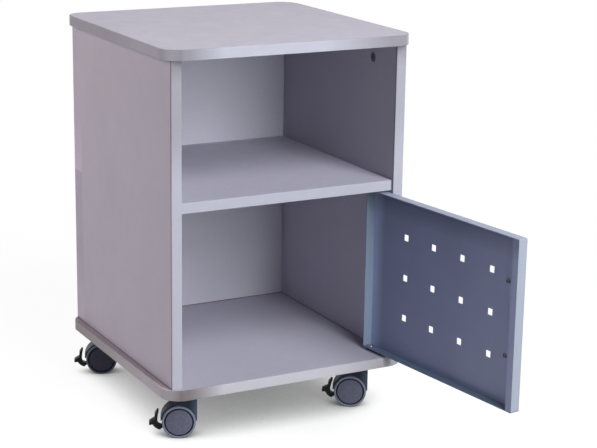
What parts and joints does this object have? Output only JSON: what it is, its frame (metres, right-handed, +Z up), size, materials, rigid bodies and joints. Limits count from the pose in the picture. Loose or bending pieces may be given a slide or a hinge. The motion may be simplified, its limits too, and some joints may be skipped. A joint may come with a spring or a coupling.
{
  "type": "office cart",
  "caption": "Mobile office cabinet with an open upper bay, a perforated steel door below and braked twin-wheel castors.",
  "frame": {"origin": "on the floor under the centre of the cabinet, where the castors stand", "axes": "+Z up out of the top; -Y out of the open front; +X towards the side that the door is hung on"},
  "size_m": [0.4355, 0.689, 0.583],
  "materials": {
    "board": "fine-grained melamine on chipboard",
    "edge_band": "satin edge band",
    "dowel_wood": "bare beech",
    "zinc": "dull zinc casting",
    "bush_plastic": "moulded nylon",
    "bright_steel": "zinc-plated",
    "door_paint": "fine satin powder coat",
    "handle_metal": "satin",
    "hood_plastic": "moulded satin",
    "lever_plastic": "moulded satin",
    "tyre_grey": "soft grey tread",
    "hub_plastic": "moulded satin"
  },
  "bodies": {
    "root": {"top_panel": "board", "base_panel": "board", "left_side_panel": "board", "right_side_panel": "board", "back_panel": "board", "middle_shelf": "board", "top_edge_band": "edge_band", "base_edge_band": "edge_band", "left_edge_band": "edge_band", "right_edge_band": "edge_band", "shelf_edge_band": "edge_band", "shelf_dowel_left_front": "dowel_wood", "shelf_dowel_left_rear": "dowel_wood", "shelf_dowel_right_front": "dowel_wood", "shelf_dowel_right_rear": "dowel_wood", "cam_fitting_front_left": "zinc", "cam_fitting_front_right": "zinc", "cam_fitting_rear_left": "zinc", "cam_fitting_rear_right": "zinc", "hinge_bush_lower": "bush_plastic", "hinge_bush_upper": "bush_plastic", "castor_stem_front_left": "bright_steel", "castor_stem_front_right": "bright_steel", "castor_stem_rear_left": "bright_steel", "castor_stem_rear_right": "bright_steel"},
    "door": {"door_panel": "door_paint", "door_handle": "handle_metal", "handle_screw_lower": "bright_steel", "handle_screw_upper": "bright_steel", "hinge_pin_lower": "bright_steel", "hinge_pin_upper": "bright_steel"},
    "swivel_front_left": {"castor_hood_front_left": "hood_plastic", "castor_axle_front_left": "bright_steel"},
    "brake_front_left": {"brake_lever_front_left": "lever_plastic"},
    "wheel_front_left_near": {"castor_tyre_front_left_near": "tyre_grey", "castor_hub_front_left_near": "hub_plastic"},
    "wheel_front_left_far": {"castor_tyre_front_left_far": "tyre_grey", "castor_hub_front_left_far": "hub_plastic"},
    "swivel_front_right": {"castor_hood_front_right": "hood_plastic", "castor_axle_front_right": "bright_steel"},
    "brake_front_right": {"brake_lever_front_right": "lever_plastic"},
    "wheel_front_right_near": {"castor_tyre_front_right_near": "tyre_grey", "castor_hub_front_right_near": "hub_plastic"},
    "wheel_front_right_far": {"castor_tyre_front_right_far": "tyre_grey", "castor_hub_front_right_far": "hub_plastic"},
    "swivel_rear_left": {"castor_hood_rear_left": "hood_plastic", "castor_axle_rear_left": "bright_steel"},
    "brake_rear_left": {"brake_lever_rear_left": "lever_plastic"},
    "wheel_rear_left_near": {"castor_tyre_rear_left_near": "tyre_grey", "castor_hub_rear_left_near": "hub_plastic"},
    "wheel_rear_left_far": {"castor_tyre_rear_left_far": "tyre_grey", "castor_hub_rear_left_far": "hub_plastic"},
    "swivel_rear_right": {"castor_hood_rear_right": "hood_plastic", "castor_axle_rear_right": "bright_steel"},
    "brake_rear_right": {"brake_lever_rear_right": "lever_plastic"},
    "wheel_rear_right_near": {"castor_tyre_rear_right_near": "tyre_grey", "castor_hub_rear_right_near": "hub_plastic"},
    "wheel_rear_right_far": {"castor_tyre_rear_right_far": "tyre_grey", "castor_hub_rear_right_far": "hub_plastic"}
  },
  "joints": [
    {"name": "door_hinge", "type": "hinge", "parent": "root", "child": "door", "pos_m": [0.1615, -0.158, 0.2165], "axis": [0, 0, 1], "range_deg": [-97, 0]},
    {"name": "castor_swivel_front_left", "type": "hinge", "parent": "root", "child": "swivel_front_left", "pos_m": [-0.1487, -0.1598, 0.059], "axis": [0, 0, 1], "continuous": true},
    {"name": "brake_front_left_press", "type": "hinge", "parent": "swivel_front_left", "child": "brake_front_left", "pos_m": [-0.18022, -0.14577, 0.018], "axis": [-0.4067, -0.9135, 0], "range_deg": [-7, 5]},
    {"name": "wheel_front_left_near_spin", "type": "hinge", "parent": "swivel_front_left", "child": "wheel_front_left_near", "pos_m": [-0.16332, -0.15329, 0.025], "axis": [-0.4067, -0.9135, 0], "continuous": true},
    {"name": "wheel_front_left_far_spin", "type": "hinge", "parent": "swivel_front_left", "child": "wheel_front_left_far", "pos_m": [-0.16332, -0.15329, 0.025], "axis": [-0.4067, -0.9135, 0], "continuous": true},
    {"name": "castor_swivel_front_right", "type": "hinge", "parent": "root", "child": "swivel_front_right", "pos_m": [0.1433, -0.1598, 0.059], "axis": [0, 0, 1], "continuous": true},
    {"name": "brake_front_right_press", "type": "hinge", "parent": "swivel_front_right", "child": "brake_front_right", "pos_m": [0.11342, -0.14255, 0.018], "axis": [-0.5, -0.866, 0], "range_deg": [0, 12]},
    {"name": "wheel_front_right_near_spin", "type": "hinge", "parent": "swivel_front_right", "child": "wheel_front_right_near", "pos_m": [0.12944, -0.1518, 0.025], "axis": [-0.5, -0.866, 0], "continuous": true},
    {"name": "wheel_front_right_far_spin", "type": "hinge", "parent": "swivel_front_right", "child": "wheel_front_right_far", "pos_m": [0.12944, -0.1518, 0.025], "axis": [-0.5, -0.866, 0], "continuous": true},
    {"name": "castor_swivel_rear_left", "type": "hinge", "parent": "root", "child": "swivel_rear_left", "pos_m": [-0.1487, 0.1482, 0.059], "axis": [0, 0, 1], "continuous": true},
    {"name": "brake_rear_left_press", "type": "hinge", "parent": "swivel_rear_left", "child": "brake_rear_left", "pos_m": [-0.18091, 0.16056, 0.018], "axis": [-0.3584, -0.9336, 0], "range_deg": [-7, 5]},
    {"name": "wheel_rear_left_near_spin", "type": "hinge", "parent": "swivel_rear_left", "child": "wheel_rear_left_near", "pos_m": [-0.16364, 0.15393, 0.025], "axis": [-0.3584, -0.9336, 0], "continuous": true},
    {"name": "wheel_rear_left_far_spin", "type": "hinge", "parent": "swivel_rear_left", "child": "wheel_rear_left_far", "pos_m": [-0.16364, 0.15393, 0.025], "axis": [-0.3584, -0.9336, 0], "continuous": true},
    {"name": "castor_swivel_rear_right", "type": "hinge", "parent": "root", "child": "swivel_rear_right", "pos_m": [0.1433, 0.1482, 0.059], "axis": [0, 0, 1], "continuous": true},
    {"name": "brake_rear_right_press", "type": "hinge", "parent": "swivel_rear_right", "child": "brake_rear_right", "pos_m": [0.11256, 0.16386, 0.018], "axis": [-0.454, -0.891, 0], "range_deg": [0, 12]},
    {"name": "wheel_rear_right_near_spin", "type": "hinge", "parent": "swivel_rear_right", "child": "wheel_rear_right_near", "pos_m": [0.12904, 0.15546, 0.025], "axis": [-0.454, -0.891, 0], "continuous": true},
    {"name": "wheel_rear_right_far_spin", "type": "hinge", "parent": "swivel_rear_right", "child": "wheel_rear_right_far", "pos_m": [0.12904, 0.15546, 0.025], "axis": [-0.454, -0.891, 0], "continuous": true}
  ]
}
